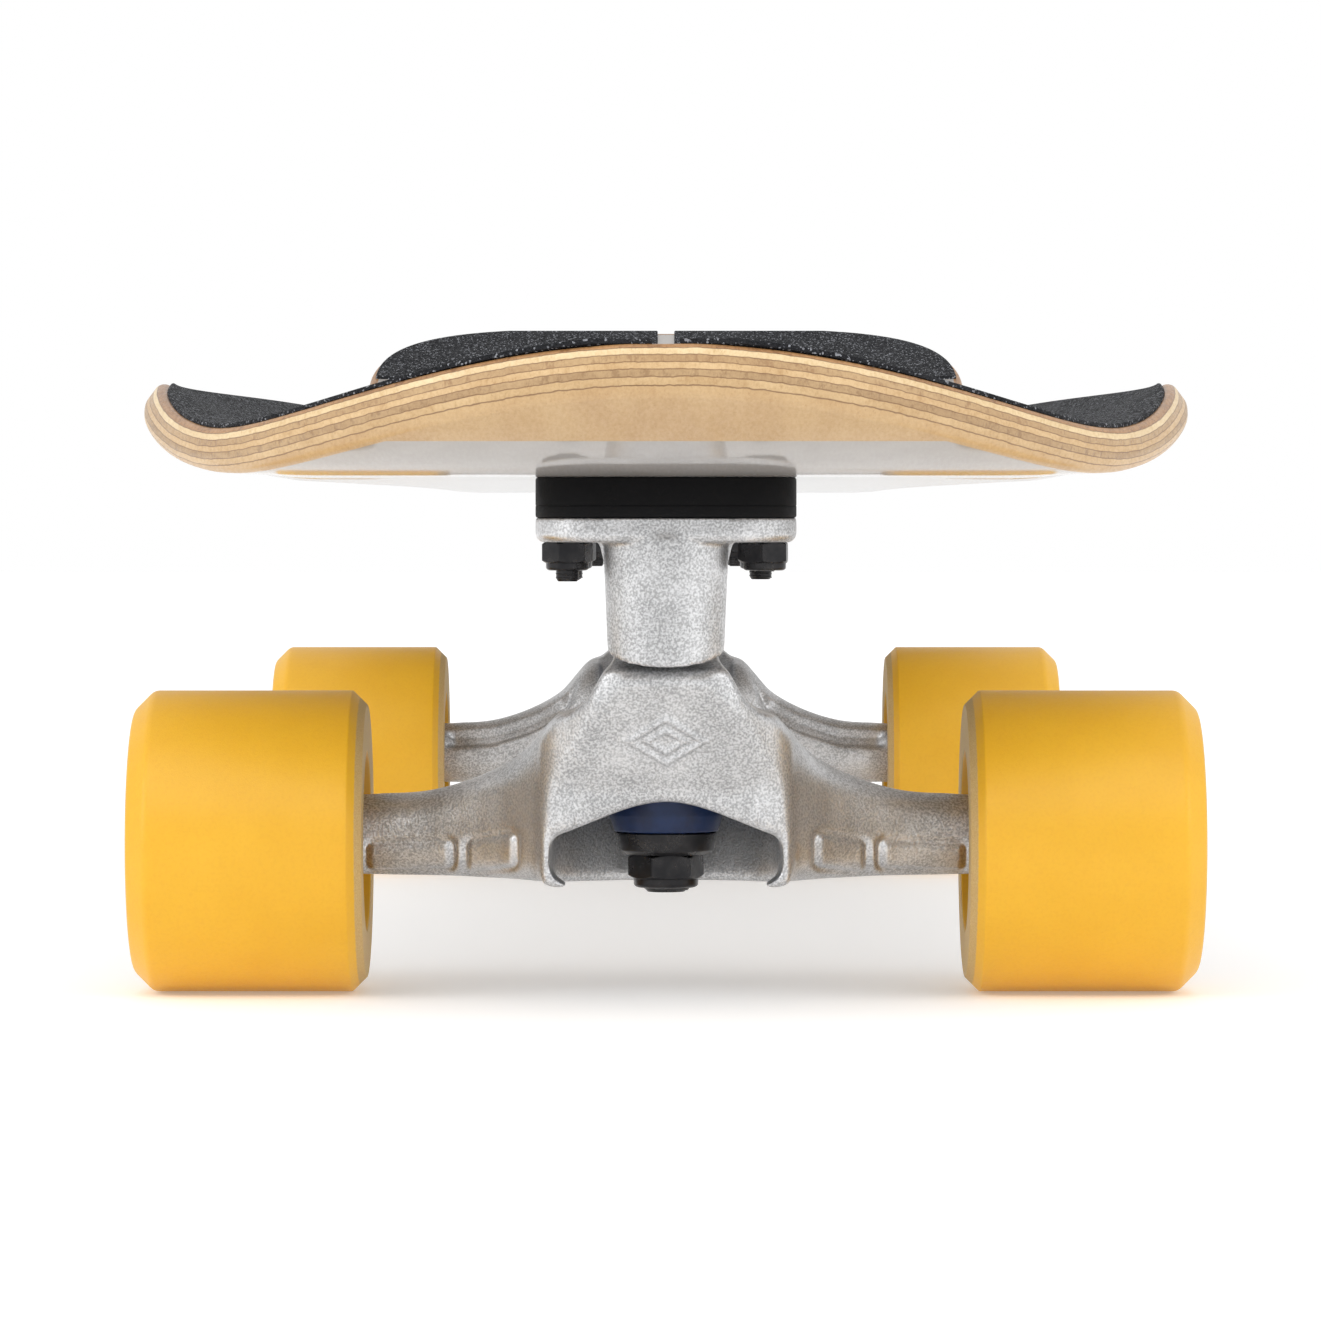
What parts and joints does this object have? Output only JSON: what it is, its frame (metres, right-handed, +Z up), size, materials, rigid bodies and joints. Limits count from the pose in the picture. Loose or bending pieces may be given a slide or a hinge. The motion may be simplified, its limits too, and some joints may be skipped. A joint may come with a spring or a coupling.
{
  "type": "skateboard",
  "caption": "Cruiser skateboard with a laminated kick-tail deck, black grip, sprung steering trucks and amber urethane wheels on ball bearings.",
  "frame": {"origin": "on the floor under the middle of the deck's outline", "axes": "+Z up, X across the board, nose towards -Y and kick tail towards +Y"},
  "size_m": [0.2324, 0.8356, 0.1643],
  "materials": {
    "maple_dark": "sealed edge",
    "maple_pale": "sealed edge",
    "grip": "abrasive grit",
    "riser_rubber": "matte",
    "cast_aluminium": "tumbled casting",
    "cup_plastic": "matte",
    "bushing_urethane": "satin",
    "wheel_urethane": "ground tread",
    "bright_steel": "bright zinc",
    "shield_black": "matte",
    "black_steel": "black oxide"
  },
  "bodies": {
    "deck": {"deck_ply_1": "maple_dark", "deck_ply_2": "maple_pale", "deck_ply_3": "maple_dark", "deck_ply_4": "maple_pale", "deck_ply_5": "maple_dark", "deck_ply_6": "maple_pale", "deck_ply_7": "maple_dark", "grip_main_left": "grip", "grip_main_right": "grip", "grip_tail_left": "grip", "grip_tail_right": "grip", "front_riser_pad": "riser_rubber", "front_baseplate": "cast_aluminium", "front_pivot_cup": "cup_plastic", "front_kingpin": "black_steel", "front_kingpin_nut": "black_steel", "front_cup_washers": "black_steel", "front_boardside_bushing": "bushing_urethane", "front_roadside_bushing": "bushing_urethane", "front_mounting_bolts": "black_steel", "front_mounting_nuts": "black_steel", "rear_riser_pad": "riser_rubber", "rear_baseplate": "cast_aluminium", "rear_pivot_cup": "cup_plastic", "rear_kingpin": "black_steel", "rear_kingpin_nut": "black_steel", "rear_cup_washers": "black_steel", "rear_boardside_bushing": "bushing_urethane", "rear_roadside_bushing": "bushing_urethane", "rear_mounting_bolts": "black_steel", "rear_mounting_nuts": "black_steel"},
    "front_truck": {"front_hanger": "cast_aluminium", "front_axle": "bright_steel", "front_speed_washers": "bright_steel", "front_bearing_spacers": "bright_steel", "front_axle_nuts": "black_steel", "front_inner_races": "bright_steel"},
    "front_left_wheel_set": {"front_left_wheel": "wheel_urethane", "front_left_outer_races": "bright_steel", "front_left_bearing_balls": "bright_steel", "front_left_bearing_shields": "shield_black"},
    "front_right_wheel_set": {"front_right_wheel": "wheel_urethane", "front_right_outer_races": "bright_steel", "front_right_bearing_balls": "bright_steel", "front_right_bearing_shields": "shield_black"},
    "rear_truck": {"rear_hanger": "cast_aluminium", "rear_axle": "bright_steel", "rear_speed_washers": "bright_steel", "rear_bearing_spacers": "bright_steel", "rear_axle_nuts": "black_steel", "rear_inner_races": "bright_steel"},
    "rear_left_wheel_set": {"rear_left_wheel": "wheel_urethane", "rear_left_outer_races": "bright_steel", "rear_left_bearing_balls": "bright_steel", "rear_left_bearing_shields": "shield_black"},
    "rear_right_wheel_set": {"rear_right_wheel": "wheel_urethane", "rear_right_outer_races": "bright_steel", "rear_right_bearing_balls": "bright_steel", "rear_right_bearing_shields": "shield_black"}
  },
  "joints": [
    {"name": "front_steer", "type": "hinge", "parent": "deck", "child": "front_truck", "pos_m": [0, -0.29, 0.051], "axis": [0, -0.6866, 0.727], "range_deg": [-15, 15], "stiffness_Nm_per_rad": 70, "deforming": ["front_boardside_bushing", "front_roadside_bushing"]},
    {"name": "front_left_spin", "type": "hinge", "parent": "front_truck", "child": "front_left_wheel_set", "pos_m": [0.0896, -0.272, 0.0325], "axis": [1, 0, 0], "continuous": true},
    {"name": "front_right_spin", "type": "hinge", "parent": "front_truck", "child": "front_right_wheel_set", "pos_m": [-0.0896, -0.272, 0.0325], "axis": [1, 0, 0], "continuous": true},
    {"name": "rear_steer", "type": "hinge", "parent": "deck", "child": "rear_truck", "pos_m": [0, 0.233, 0.051], "axis": [0, 0.6866, 0.727], "range_deg": [-15, 15], "stiffness_Nm_per_rad": 70, "deforming": ["rear_boardside_bushing", "rear_roadside_bushing"]},
    {"name": "rear_left_spin", "type": "hinge", "parent": "rear_truck", "child": "rear_left_wheel_set", "pos_m": [0.0896, 0.215, 0.0325], "axis": [1, 0, 0], "continuous": true},
    {"name": "rear_right_spin", "type": "hinge", "parent": "rear_truck", "child": "rear_right_wheel_set", "pos_m": [-0.0896, 0.215, 0.0325], "axis": [1, 0, 0], "continuous": true}
  ]
}
